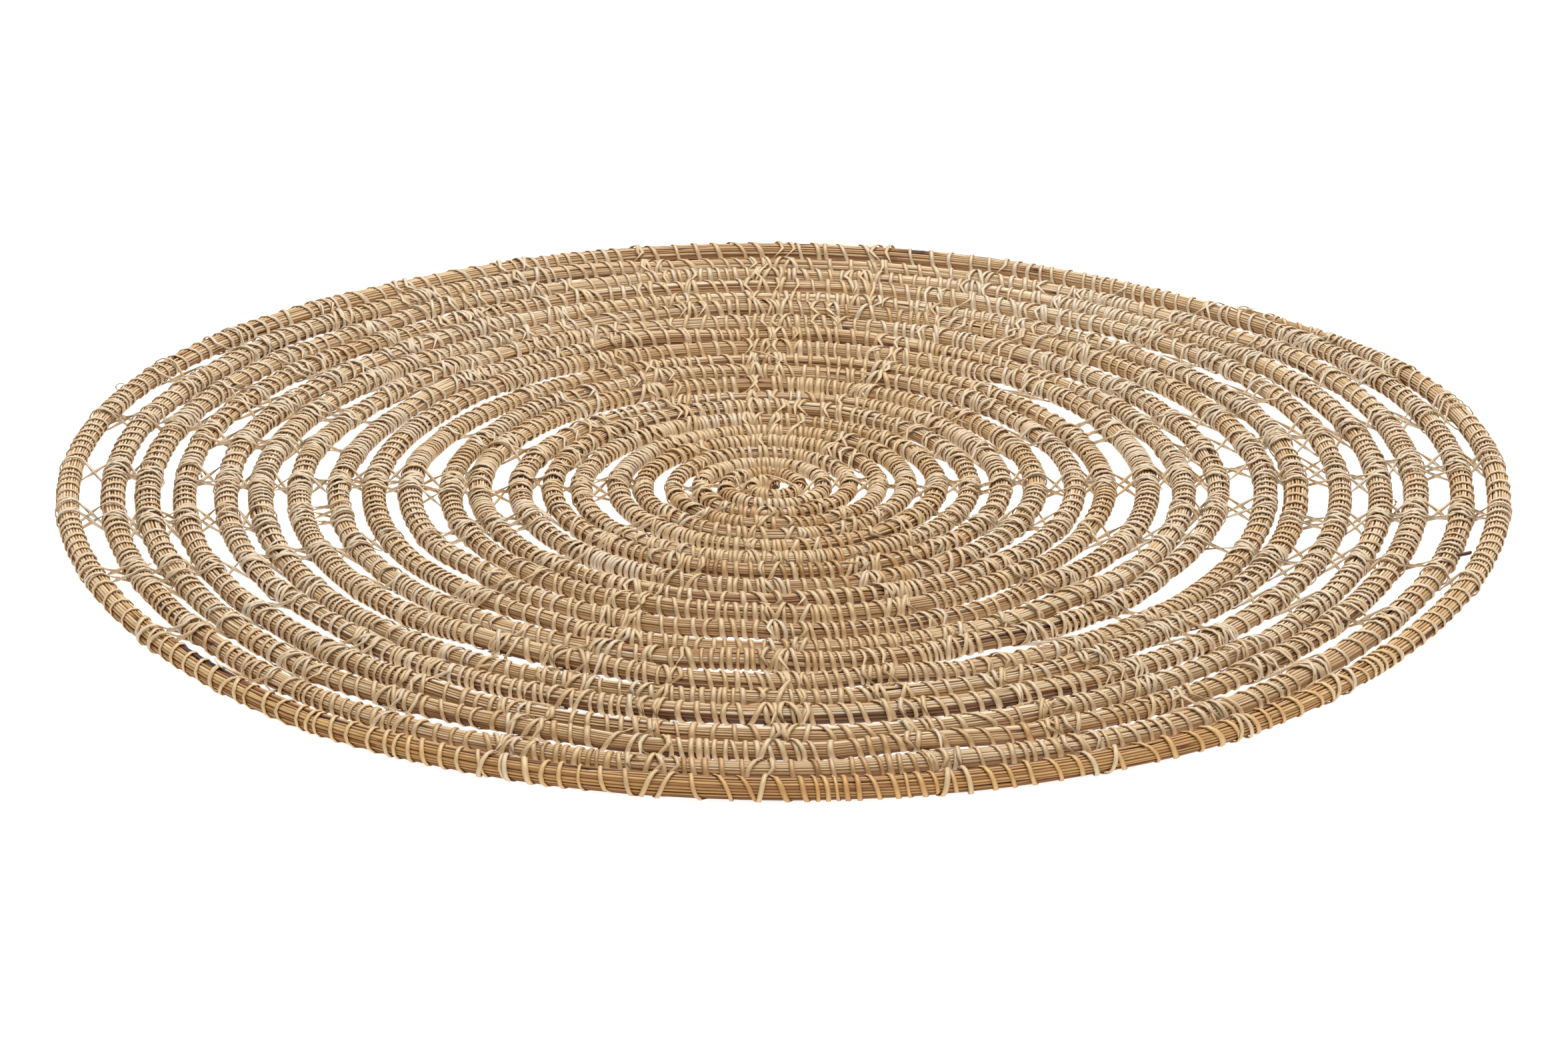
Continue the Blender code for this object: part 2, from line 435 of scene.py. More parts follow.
@dataclass
class Paths:
    """Lines to sweep, gathered one by one and made into one mesh of edges."""

    marks: dict = field(default_factory=lambda: defaultdict(list))
    edges: list = field(default_factory=list)
    count: int = 0

    def add(self, points: Array, ways: Array, run: Array, closed: bool = False,
            tone: Values = 0.5, girth: Values = 1.0, gold: Values = 0.0) -> None:
        """Add one line.

        Args:
            points: Its points, in order.
            ways: The way out of the coil at each point.
            run: A length at each point, for the pattern along the line.
            closed: Whether its last point joins its first.
            tone: Shade from dark, 0, to pale, 1, for the line or each point.
            girth: Scale of the cross-section, for the line or each point.
            gold: Share of the rim's golden tint, for the line or each point.
        """
        size = len(points)
        steps = np.arange(self.count, self.count + size)
        pairs = np.stack([steps[:-1], steps[1:]], axis=1)
        if closed:
            pairs = np.vstack([pairs, [steps[-1], steps[0]]])
        self.edges.append(pairs)
        self.marks["position"].append(points)
        self.marks["out"].append(ways)
        for name, value in (("run", run), ("tone", tone), ("girth", girth), ("gold", gold)):
            self.marks[name].append(np.broadcast_to(value, (size,)))
        self.count += size

    def mesh(self, name: str) -> Mesh:
        """Make the gathered lines a mesh of edges, with their marks as attributes."""
        edges = np.concatenate(self.edges).astype(np.int32)
        mesh = bpy.data.meshes.new(name)
        mesh.vertices.add(self.count)
        mesh.edges.add(len(edges))
        mesh.edges.foreach_set("vertices", edges.ravel())
        for mark, parts in self.marks.items():
            values = np.concatenate(parts).astype(np.float32)
            kind, key = ("FLOAT_VECTOR", "vector") if values.ndim == 2 else ("FLOAT", "value")
            layer = mesh.attributes.get(mark) or mesh.attributes.new(mark, kind, "POINT")
            layer.data.foreach_set(key, values.ravel())
        return mesh


class Workshop:
    """Makes finished pieces out of paths and puts them on the mat."""

    def __init__(self) -> None:
        """Make the one sweep tree that every piece uses."""
        self.sweep = SweepTree()

    def build(self, name: str, paths: Paths, finish: Material, profile: Profile,
              width: float = ROUND, thickness: float = ROUND) -> None:
        """Sweep the paths and keep the result as one plain mesh.

        Args:
            name: The piece's name.
            paths: The lines to sweep.
            finish: The material that it gets.
            profile: The cross-section.
            width: Width of the cross-section, across the surface.
            thickness: Its thickness, out of the surface.
        """
        guide = put(name + "_paths", paths.mesh(name + "_paths"))
        modifier = guide.modifiers.new("sweep", "NODES")
        modifier.node_group = self.sweep.tree
        values = {"Width": width, "Thickness": thickness, "Sides": profile.value, "Finish": finish}
        for title, value in values.items():
            modifier[self.sweep.inputs[title]] = value
        guide.update_tag()
        bpy.context.view_layer.update()
        evaluated = guide.evaluated_get(bpy.context.evaluated_depsgraph_get())
        mesh = bpy.data.meshes.new_from_object(evaluated)
        mesh.name = name
        guide.modifiers.remove(modifier)
        bpy.data.objects.remove(guide)
        spare = mesh.attributes.get("out")
        if spare is not None:
            mesh.attributes.remove(spare)
        piece = put(name, mesh)
        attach(piece, BODY)
        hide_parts(NODE)
        faces = sum(len(face.vertices) - 2 for face in mesh.polygons)
        LOG.info("%s: %d triangles", name, faces)


@dataclass(frozen=True)
class FibreFinish:
    """A dry plant fibre: shades along it, fine streaks, and painted shade that darkens its sides.

    Attributes:
        name: The material's name.
        ramp: Places from 0 to 1 on the tone scale, with their colours.
        streak: Darkest and palest factor of the streaks.
        streak_length: Length of a streak along the fibre, in metres.
        roughness: How matt it is.
        relief: Height of the streaks, in metres.
        coat: Share of the faint waxy gloss.
        gold: Tint of the rim turn.
        edge: Tint of the painted shade on the fibre's sides, where it turns under towards the
            cracks.
        streak_rows: Streaks across the fibre's width.
    """

    name: str
    ramp: tuple
    streak: tuple
    streak_length: float
    roughness: float
    relief: float
    coat: float = 0.0
    gold: str = WHITE
    edge: str = WHITE
    streak_rows: float = 3.0

    COAT_ROUGHNESS = 0.35
    RELIEF_STRENGTH = 0.6
    STREAK_SPAN = (0.3, 0.7)
    STREAK_DETAIL = {"Scale": 1.0, "Detail": 3.0, "Roughness": 0.6}
    PAINTED_SHADE_REACH = 0.4
    TONE_SHIFT = 37.0

    def build(self) -> Material:
        """Make the material."""
        material = bpy.data.materials.new(self.name)
        material.use_nodes = True
        tree = material.node_tree
        tone, gold, run, crown = (
            add_node(tree, "ShaderNodeAttribute", attribute_name=name)["Fac"]
            for name in ("tone", "gold", "run", "crown")
        )
        streak = self._streak(tree, run, crown, tone)
        # The streaks' factor, and the share of painted shade: full on the fibre's inner half,
        # fading out towards its crown
        bands, under = (
            add_node(tree, "ShaderNodeMapRange", dict(enumerate((value, *span))))[0]
            for value, span in (
                (streak, (*self.STREAK_SPAN, *self.streak)),
                (crown, (0.0, self.PAINTED_SHADE_REACH, 1.0, 0.0)),
            )
        )
        colour = self._ramp(tree, tone)
        # Multiply in the rim's golden tint, then the painted shade on the sides
        for share, tint in ((gold, self.gold), (under, self.edge)):
            colour = add_node(
                tree, "ShaderNodeMix", {0: share, 6: colour, 7: linear(tint)},
                data_type="RGBA", blend_type="MULTIPLY",
            )[2]
        colour = add_node(
            tree, "ShaderNodeVectorMath", {0: colour, "Scale": bands}, operation="SCALE"
        )[0]
        relief = add_node(
            tree, "ShaderNodeBump",
            {"Strength": self.RELIEF_STRENGTH, "Distance": self.relief, "Height": streak},
        )[0]
        shader = tree.nodes["Principled BSDF"]
        tree.links.new(colour, shader.inputs["Base Color"])
        tree.links.new(relief, shader.inputs["Normal"])
        shader.inputs["Roughness"].default_value = self.roughness
        shader.inputs["Coat Weight"].default_value = self.coat
        shader.inputs["Coat Roughness"].default_value = self.COAT_ROUGHNESS
        return material

    def _streak(self, tree: NodeTree, run: NodeSocket,
                crown: NodeSocket, tone: NodeSocket
                ) -> NodeSocket:
        """Noise drawn out along the fibre, shifted by tone so no two fibres match."""
        place = add_node(tree, "ShaderNodeCombineXYZ", {"X": run, "Y": crown, "Z": tone})
        scale = (1.0 / self.streak_length, self.streak_rows, self.TONE_SHIFT)
        stretched = add_node(
            tree, "ShaderNodeVectorMath", {0: place[0], 1: scale}, operation="MULTIPLY"
        )
        return add_node(
            tree, "ShaderNodeTexNoise", {"Vector": stretched[0], **self.STREAK_DETAIL}
        )[0]

    def _ramp(self, tree: NodeTree, tone: NodeSocket
              ) -> NodeSocket:
        """Colours along the tone scale."""
        shade = add_node(tree, "ShaderNodeValToRGB", {0: tone})[0]
        stops = shade.node.color_ramp.elements
        while len(stops) < len(self.ramp):
            stops.new(1.0)
        for stop, (place, code) in zip(stops, self.ramp):
            stop.position = place
            stop.color = linear(code)
        return shade


# Split cane: the shaved skin side of a cane, pale, smooth and faintly waxy
CANE_STRIP = FibreFinish(
    name="split_cane",
    ramp=(
        (0.0, "#9a703c"), (0.2, "#c39b67"), (0.45, "#d3b487"), (0.75, "#d8be98"), (1.0, "#dccab0"),
    ),
    streak=(0.84, 1.06),
    streak_length=6.0 * MM,
    roughness=0.5,
    relief=0.04 * MM,
    coat=0.12,
    gold="#fff0cf",
    # Painted shade on the strip's sides
    edge="#dcbd93",
)

# The same cane where it is carried free from turn to turn: its inner side shows too, so the
# painted shade on its sides is lighter
CANE_TIE = replace(CANE_STRIP, name="split_cane_tie", edge="#efe0c8")

# Dry grass stems: sun-dried, matt, straw to tan, with a few dark or stained ones
GRASS_STEM = FibreFinish(
    name="dry_grass_stem",
    ramp=(
        (0.0, "#45301f"), (0.06, "#6f4623"), (0.22, "#a87a47"), (0.5, "#ceac7c"),
        (0.8, "#e0c79d"), (1.0, "#ebdaba"),
    ),
    streak=(0.72, 1.08),
    streak_length=14.0 * MM,
    roughness=0.6,
    relief=0.05 * MM,
    coat=0.05,
    gold="#fbeccb",
    # Painted shade on the stems' sides, towards the cracks between them
    edge="#bb8c5c",
)

# Hidden core inside the ring of stems, brown and dull, seen only in the cracks: its dark colour is
# painted shade for the cracks
PAINTED_SHADE_CORE = FibreFinish(
    name="dark_core_painted_shade",
    ramp=((0.0, "#2e1c0e"), (1.0, "#6e4826")),
    streak=(0.7, 1.1),
    streak_length=8.0 * MM,
    roughness=0.8,
    relief=0.1 * MM,
    streak_rows=6.0,
)


@dataclass(frozen=True)
class Tie:
    """One place where two neighbouring turns are lashed together.

    Attributes:
        turn: Place on the inner of the two turns.
        loops: How many figure-eight loops it has.
        gap: Number of the gap that it crosses, counted from the middle.
        spread: Scale of the distance from loop to loop.
        skew: How far along the coil the outer turn's side is shifted, in metres.
    """

    turn: float
    loops: int
    gap: int
    spread: float = 1.0
    skew: float = 0.0


@dataclass
class TieRows:
    """Where the lashings cross from turn to turn."""

    coil: Coil
    row_angle: float = math.radians(1.0)
    zones: tuple = ((1.3, 8), (4.8, 16), (11.8, 32))
    loop_spacing: float = 4.4 * MM
    loop_counts: tuple = (1, 2, 3)
    loop_shares: tuple = (0.2, 0.5, 0.3)
    side_shift: float = 1.1 * MM
    wander: float = 4.4 * MM
    spreads: tuple = (0.65, 1.45)
    skew: float = 1.5 * MM
    left_out: float = 0.05
    core_places: tuple = (-0.64, -0.56, -0.48, -0.06, 0.38, 0.45, 0.52, 0.98)
    tail_places: tuple = (0.003, 0.011, 0.05, 0.057)
    seed: int = 11

    def rows_at(self, turn: float) -> int:
        """How many rows the mat has at this place."""
        return [rows for start, rows in self.zones if turn >= start][-1]

    def ties(self) -> list[Tie]:
        """Every tie of the mat."""
        rng = default_rng(self.seed)
        most = self.zones[-1][1]
        first = (self.row_angle - self.coil.start_angle) / FULL_TURN
        found = []
        for index in range(most, int(most * self.coil.turns)):
            turn = first + index / most
            loops = int(rng.choice(self.loop_counts, p=self.loop_shares))
            stray = rng.uniform(-1.0, 1.0)
            spread = rng.uniform(*self.spreads)
            skew = self.skew * rng.normal()
            missing = rng.uniform() < self.left_out
            if turn < self.zones[0][0] or turn + 1.0 > self.coil.turns or missing:
                continue
            if index % (most // self.rows_at(turn)):
                continue
            gap = index // most
            side = self.side_shift if gap % 2 else -self.side_shift
            shift = (side + self.wander * stray) / self.coil.around(turn)
            found.append(Tie(turn + shift, loops, gap, spread, skew))
        found += [Tie(turn, 1, 0) for turn in self.core_places]
        found += [Tie(self.coil.turns - 1.0 - back, 1, most) for back in self.tail_places]
        return found


@dataclass
class Lashings:
    """Figure-eight stitches of strip that tie each turn to the next one."""

    coil: Coil
    rows: TieRows
    width: float = 1.32 * MM
    thickness: float = 0.46 * MM
    cross_shift: float = 2.1 * MM
    cross_spread: tuple = (0.5, 1.6)
    cross_against: float = 0.6
    proud: tuple = (0.0, 0.42)
    arch: float = 0.35 * MM
    girths: tuple = (0.85, 1.1)
    crossing_girth: float = 0.85
    round_points: int = 10
    extra_points: int = 12
    extra_reach: float = 3.6 * MM
    extra_slants: tuple = (1.0, 2.6)
    extra_girths: tuple = (0.8, 1.05)
    extra_most: tuple = (1, 2)
    side_from: float = 0.62
    outer_from: int = 14
    tone: tuple = (0.60, 0.15)
    point_step: float = 1.8 * MM
    up_share: float = 1e-3
    seed: int = 23

    def bands(self) -> Array:
        """Lengths along the coil where a stitch goes round it."""
        found = [self._loop_turns(tie) for tie in self.rows.ties()]
        return np.sort(self.coil.run_at(np.concatenate(found).ravel()))

    def _loop_turns(self, tie: Tie) -> list[tuple[float, float]]:
        """Places of one tie's loops on its inner and its outer turn."""
        last, around = self.coil.turns, self.coil.around(tie.turn)
        step = self.rows.loop_spacing * tie.spread / around
        starts = [tie.turn + step * (k - 0.5 * (tie.loops - 1)) for k in range(tie.loops)]
        return [(start, min(start + 1.0 + tie.skew / around, last)) for start in starts]

    def _round(self, turn: float, start: float, end: float, slant: float, depth: float,
               arch: float) -> tuple[Array, Array]:
        """The part of a loop that lies on one turn, from its top to its underside."""
        share = np.linspace(0.0, 1.0, self.round_points)
        angle = start + (end - start) * share
        run = self.coil.run_at(turn) + slant * (2.0 * share - 1.0)
        crown = np.maximum(0.0, np.sin(angle)) ** 2
        return self.coil.surface(run, angle, depth - arch * crown)

    def _extra(self, turn: float, rng: Generator) -> tuple[Array, Array]:
        """A slanting round of the strip beside a stitch, on top of the wraps."""
        angle = FULL_TURN * np.arange(self.extra_points) / self.extra_points
        slant = rng.uniform(*self.extra_slants) * rng.choice((-1.0, 1.0)) * MM
        start = self.coil.run_at(turn) + rng.uniform(-1.0, 1.0) * self.extra_reach
        depth = -self.proud_depth(rng)
        crown = np.maximum(0.0, np.sin(angle)) ** 2
        depth = depth - self.arch * crown * rng.uniform()
        return self.coil.surface(start + slant * np.cos(angle), angle, depth)

    def proud_depth(self, rng: Generator) -> float:
        """How far the middle of a strip stands over the coil's skin."""
        return rng.uniform(*self.proud) * MM - 0.5 * self.thickness

    def extras(self, turn: float, rng: Generator) -> int:
        """How many extra rounds a stitch has: none on the rim, most at the left and right."""
        if turn > self.coil.turns - 1.0:
            return 0
        side = abs(math.cos(self.coil.angle(turn))) > self.side_from
        return int(rng.integers(0, self.extra_most[side] + 1))

    def _loop(self, places: tuple[float, float], slant: float, depth: float, arch: float
              ) -> tuple[Array, Array]:
        """One closed figure-eight round two neighbouring turns."""
        eighth = FULL_TURN / 8.0
        inner = self._round(places[0], eighth, FULL_TURN - eighth, slant, depth, arch)
        outer = self._round(places[1], 3.0 * eighth, -3.0 * eighth, slant, depth, arch)
        points, ways = [], []
        for here, there in ((inner, outer), (outer, inner)):
            middle = 0.5 * (here[0][-1] + there[0][0])
            facing = here[1][-1] + there[1][0] + self.up_share * np.array(UP)
            points += [here[0], middle[None]]
            ways += [here[1], (facing / np.linalg.norm(facing))[None]]
        return np.concatenate(points), np.concatenate(ways)

    def build(self, shop: Workshop, finish: Material) -> None:
        """Make all the stitches, in an inner and an outer piece.

        Args:
            shop: Makes the pieces.
            finish: The strip's material.
        """
        rng = default_rng(self.seed)
        halves = {"lashings_inner": Paths(), "lashings_outer": Paths()}
        for tie in self.rows.ties():
            paths = halves["lashings_outer" if tie.gap >= self.outer_from else "lashings_inner"]
            for places in self._loop_turns(tie):
                slant = self.cross_shift * rng.uniform(*self.cross_spread)
                slant = -slant if rng.uniform() < self.cross_against else slant
                arch = self.arch * rng.uniform()
                points, ways = self._loop(places, slant, -self.proud_depth(rng), arch)
                girth = np.full(len(points), rng.uniform(*self.girths))
                girth[[self.round_points, -1]] *= self.crossing_girth
                self._add(paths, points, ways, girth, places[0], rng)
            for place in (tie.turn, tie.turn + 1.0):
                for _ in range(self.extras(place, rng)):
                    points, ways = self._extra(place, rng)
                    girth = rng.uniform(*self.extra_girths)
                    self._add(paths, points, ways, girth, place, rng)
        for name, paths in halves.items():
            shop.build(name, paths, finish, Profile.STRIP, self.width, self.thickness)

    def _add(self, paths: Paths, points: Array, ways: Array, girth: Values,
             turn: float, rng: Generator) -> None:
        """Add one closed round of the strip in a shade of its own."""
        # The tone takes painted light: paler at the left, the right and the back
        tone = float(np.clip(rng.normal(*self.tone) + self.coil.painted_light(turn), 0.0, 1.0))
        run = np.arange(len(points)) * self.point_step
        paths.add(points, ways, run, closed=True, tone=tone, girth=girth)


@dataclass
class CaneWrap:
    """The strip that runs round the bundle from the middle to the tail."""

    coil: Coil
    lashings: Lashings
    width: float = 1.32 * MM
    thickness: float = 0.50 * MM
    round_points: int = 10
    pieces: int = 3
    spacings: tuple = (
        (-1.0, 1.1), (1.0, 1.35), (2.5, 1.9), (5.0, 2.3), (8.0, 2.9), (12.0, 3.4),
        (15.0, 3.6), (17.0, 3.9), (18.6, 4.3), (19.1, 5.2), (20.1, 5.4),
    )
    side_spread: tuple = (
        (6.0, 0.0), (8.0, -0.07), (13.5, -0.08), (15.5, -0.03), (17.5, 0.0), (19.0, -0.16),
    )
    start: float = 1.0 * MM
    bunch_length: float = 13.0 * MM
    bunch: float = 0.55
    uneven_length: float = 3.1 * MM
    uneven: float = 0.18
    least_step: float = 1.2 * MM
    least_break: float = 1e-9
    band_room: float = 0.9 * MM
    lean: float = 0.14
    least_lean: float = 0.28 * MM
    peak: float = 0.30 * MM
    slack: float = 0.22 * MM
    tuck: float = 0.4 * MM
    girth_spread: float = 0.16
    girth_range: tuple = (0.68, 1.4)
    strip_wraps: tuple = (9, 34)
    tone: tuple = (0.56, 0.17)
    tone_change: float = 0.1
    point_step: float = 1.6 * MM
    pattern_shift: float = 7.0
    bare_tail: float = 14.0 * MM
    seed: int = 37

    def spacing(self, run: float) -> float:
        """Distance from one wrap to the next at this length along the coil."""
        turn = self.coil.turn_at(run)
        side = abs(math.cos(self.coil.angle(turn)))
        spread = 1.0 + read_table(self.side_spread, turn) * side
        return read_table(self.spacings, turn) * MM * spread

    def knots(self) -> list[tuple[float, float]]:
        """Start and end of each wrap along the coil, without those at a stitch."""
        uneven, bunch = Drift(self.seed), Drift(self.seed + 1)
        bands = self.lashings.bands()
        run, found = self.start, []
        end = self.coil.length - self.bare_tail
        while run < end:
            factor = 1.0 + self.bunch * bunch.at(run / self.bunch_length)
            factor += self.uneven * uneven.at(run / self.uneven_length)
            step = max(self.least_step, self.spacing(run) * factor)
            middle = run + 0.5 * step
            near = np.searchsorted(bands, middle)
            gaps = [abs(middle - bands[k]) for k in (near - 1, near) if 0 <= k < len(bands)]
            if not gaps or min(gaps) > self.band_room:
                found.append((run, min(run + step, end)))
            run += step
        return found

    def tones(self, count: int, rng: Generator) -> Array:
        """Shade of each wrap: one for each length of strip, and a little for each wrap."""
        shades = np.empty(count)
        first = 0
        while first < count:
            last = first + int(rng.integers(*self.strip_wraps))
            shades[first:last] = rng.normal(*self.tone)
            first = last
        return np.clip(shades + rng.normal(0.0, self.tone_change, count), 0.0, 1.0)

    def build(self, shop: Workshop, finish: Material) -> None:
        """Make the wrap, in pieces of like size.

        Args:
            shop: Makes the pieces.
            finish: The strip's material.
        """
        rng = default_rng(self.seed)
        knots = self.knots()
        tones = self.tones(len(knots), rng)
        LOG.info("wraps: %d", len(knots))
        wraps = np.column_stack([knots, tones])
        breaks = 1 + np.flatnonzero(np.abs(wraps[1:, 0] - wraps[:-1, 1]) > self.least_break)
        groups = [Paths() for _ in range(self.pieces)]
        done = 0
        for stretch in np.split(wraps, breaks):
            self._add_stretch(groups[int(done * self.pieces / len(wraps))], stretch, rng)
            done += len(stretch)
        for number, paths in enumerate(groups, 1):
            name = f"cane_wrap_{number}"
            shop.build(name, paths, finish, Profile.STRIP, self.width, self.thickness)

    def _add_stretch(self, paths: Paths, stretch: Array, rng: Generator) -> None:
        """Add an unbroken stretch of wraps, its two ends tucked under."""
        count = len(stretch)
        share = np.arange(self.round_points) / self.round_points
        start, end, tone = stretch[:, :1], stretch[:, 1:2], stretch[:, 2:]
        lean = np.maximum(self.least_lean, self.lean * (end - start))
        lean = lean * rng.normal(0.0, 1.0, (count, 1))
        peak = rng.normal(0.0, self.peak, (count, 1))
        slack = rng.uniform(0.0, 1.0, (count, 1)) ** 3 * self.slack
        angle = -0.25 * FULL_TURN - FULL_TURN * share + np.zeros((count, 1))
        crown = 0.5 * (1.0 + np.sin(angle))
        run = start + (end - start) * share + lean * np.cos(angle) + peak * crown
        depth = 0.5 * self.thickness - slack * crown
        tone = tone + np.zeros_like(angle)
        girth = rng.normal(1.0, self.girth_spread, (count, 1)) + np.zeros_like(angle)
        girth = np.clip(girth, *self.girth_range).ravel()
        run, angle, depth = run.ravel(), angle.ravel(), depth.ravel()
        depth[[0, -1]] += self.tuck
        points, ways = self.coil.surface(run, angle, depth)
        length = np.arange(len(points)) * self.point_step + stretch[0, 0] * self.pattern_shift
        turn = self.coil.turn_at(run)
        # The tone takes painted light: paler at the left, the right and the back
        tone = np.clip(tone.ravel() + self.coil.painted_light(turn), 0.0, 1.0)
        gold = self.coil.rim_tint(turn)
        paths.add(points, ways, length, tone=tone, girth=girth, gold=gold)


@dataclass
class GrassBundle:
    """The stems that the coil is made of, and the core inside them, dark as painted shade for the
    cracks.
    """

    coil: Coil
    skin: float = 0.40 * MM
    tracks: int = 20
    crowding: float = 1.12
    longest_step: float = 9.0 * MM
    step_share: float = 0.12
    shortest_step: float = 0.8 * MM
    piece_lengths: tuple = (0.05, 0.34)
    girths: tuple = (0.76, 1.28)
    tone: tuple = (0.53, 0.28)
    tone_range: tuple = (0.08, 1.0)
    tone_drift: float = 0.12
    tone_wave: float = 26.0 * MM
    stain_wave: float = 17.0 * MM
    stain_start: float = 0.83
    stain_fade: float = 0.1
    stain_edge: float = 3.0 * MM
    # Dark stretches of listed tracks on the rim turn: the one at turn 19.57 is painted shade, dark
    # stems on the rim's inner top where the gap beside it lies in shade; the one at turn 19.169
    # darkens the top of the rim towards the back
    dark_stretches_and_painted_shade: tuple = ((19.169, 6.0 * MM, (4, 5, 6)), (19.57, 16.0 * MM, (6, 7)))
    # Painted shade: stems low on the coil's sides and underside are darkened in colour, below this
    # share of the way up
    painted_shade_from: float = 0.6
    painted_under_shade: float = 0.60
    course_waves: tuple = (31.0, 23.0, 47.0)
    sway: float = 0.22
    swell: float = 0.12
    sink: float = 0.16 * MM
    dive: float = 0.45 * MM
    fill_share: float = 0.62
    pattern_shift: float = 3.1
    drift_seeds: int = 100
    stain_seeds: int = 200
    seed: int = 51

    def steps(self) -> Array:
        """Lengths along the coil of the stems' points, closer near the middle."""
        runs, run = [], 0.0
        while run < self.coil.length:
            runs.append(run)
            radius = self.coil.even_radius(self.coil.turn_at(run))
            run += min(self.longest_step, max(self.shortest_step, radius * self.step_share))
        runs.append(self.coil.length)
        return np.array(runs)

    def _track(self, number: int, runs: Array) -> tuple[Array, ...]:
        """The course of one stem in the bundle: angle, sinking and thickness."""
        room = math.pi * self.crowding / self.tracks
        half = self.coil.half(self.coil.turn_at(runs)) - self.skin
        radius = half * room / (1.0 + room)
        sway, rise, body = (
            Drift(self.seed + 3 * number + k).at(runs / (length * MM))
            for k, length in enumerate(self.course_waves)
        )
        angle = FULL_TURN * (number + self.sway * sway) / self.tracks
        return angle, self.sink * (0.5 - 0.5 * rise), radius * (1.0 + self.swell * body)

    def build(self, shop: Workshop, stem: Material,
              painted_shade_core: Material) -> None:
        """Make the stems, in an inner and an outer piece, and the dark core.

        Args:
            shop: Makes the pieces.
            stem: The stems' material.
            painted_shade_core: The core's material, dark as painted shade for the cracks.
        """
        rng = default_rng(self.seed)
        runs = self.steps()
        LOG.info("coil length %.2f m, %d steps", self.coil.length, len(runs))
        split = self.coil.length * 0.5
        halves = {"stems_inner": Paths(), "stems_outer": Paths()}
        for number in range(self.tracks):
            angle, sunk, radius = self._track(number, runs)
            drift, undarkened = self._stains_and_painted_shade(number, runs)
            for first, last in self._pieces(runs, rng):
                part = slice(first, last + 1)
                turn = self.coil.turn_at(runs[part])
                # The tone takes painted light: paler at the left, the right and the back
                tone = rng.normal(*self.tone) + drift[part] + self.coil.painted_light(turn)
                tone = np.clip(tone, *self.tone_range) * undarkened[part]
                girth = radius[part] * rng.uniform(*self.girths)
                depth = self.skin + girth + sunk[part]
                depth[[0, -1]] += self.dive
                # Painted shade: the lower a stem lies round the coil, the darker its colour is
                # made
                under = np.maximum(0.0, self.painted_shade_from - np.sin(angle[part]))
                tone = tone * (1.0 - self.painted_under_shade * under)
                points, ways = self.coil.surface(runs[part], angle[part], depth)
                halves["stems_inner" if runs[first] < split else "stems_outer"].add(
                    points, ways, runs[part] + self.pattern_shift * number, tone=tone,
                    girth=girth / MM, gold=self.coil.rim_tint(turn),
                )
        for name, paths in halves.items():
            shop.build(name, paths, stem, Profile.STEM)
        self._fill(shop, runs, painted_shade_core)

    def _pieces(self, runs: Array, rng: Generator) -> list[tuple[int, int]]:
        """Break a track into stems: the first and last point of each."""
        low, high = self.piece_lengths
        edge = -rng.uniform(0.0, high)
        found, first = [], 0
        while first < len(runs) - 2:
            edge = max(edge, runs[first]) + rng.uniform(low, high)
            last = int(min(np.searchsorted(runs, edge), len(runs) - 1))
            last = max(last, first + 1)
            found.append((first, last))
            first = last
        return found

    def _stains_and_painted_shade(self, number: int, runs: Array) -> tuple[Array, Array]:
        """How the shade drifts along one track, and a factor that is 0 where the stem is darkened:
        at random stains and at the listed dark stretches, the one at turn 19.57 being painted
        shade.
        """
        drift = Drift(self.seed + self.drift_seeds + number).at(runs / self.tone_wave)
        stain = Drift(self.seed + self.stain_seeds + number).at(runs / self.stain_wave)
        undarkened = 1.0 - ease((stain - self.stain_start) / self.stain_fade)
        # The listed dark stretches: the one at turn 19.57 is painted shade
        for turn, half, tracks in self.dark_stretches_and_painted_shade:
            if number in tracks:
                away = np.abs(runs - self.coil.run_at(turn)) - half
                undarkened = undarkened * ease(away / self.stain_edge)
        return self.tone_drift * drift, undarkened

    def _fill(self, shop: Workshop, runs: Array, painted_shade_core: Material) -> None:
        """The dull core inside the ring of stems, its dark brown painted shade for the cracks."""
        runs = runs[::2]
        turn = self.coil.turn_at(runs)
        centre, _, out, _ = self.coil.axes(turn)
        half = self.coil.half(turn) * self.coil.squeeze(turn) - self.skin
        paths = Paths()
        paths.add(centre, out, runs, tone=0.5, girth=half * self.fill_share / MM)
        shop.build("core_fill_painted_shade", paths, painted_shade_core, Profile.FILL)


@dataclass(frozen=True)
class LooseEnd:
    """An end or a curl of fibre that has worked loose.

    Attributes:
        turn: Place along the coil that it leaves from, in turns.
        course: Its points from the coil's middle there, in millimetres: along
            the coil, outwards and up.
        girth: Scale of its cross-section.
        tone: Shade from dark, 0, to pale, 1.
    """

    turn: float
    course: tuple
    girth: float = 0.8
    tone: float = 0.6


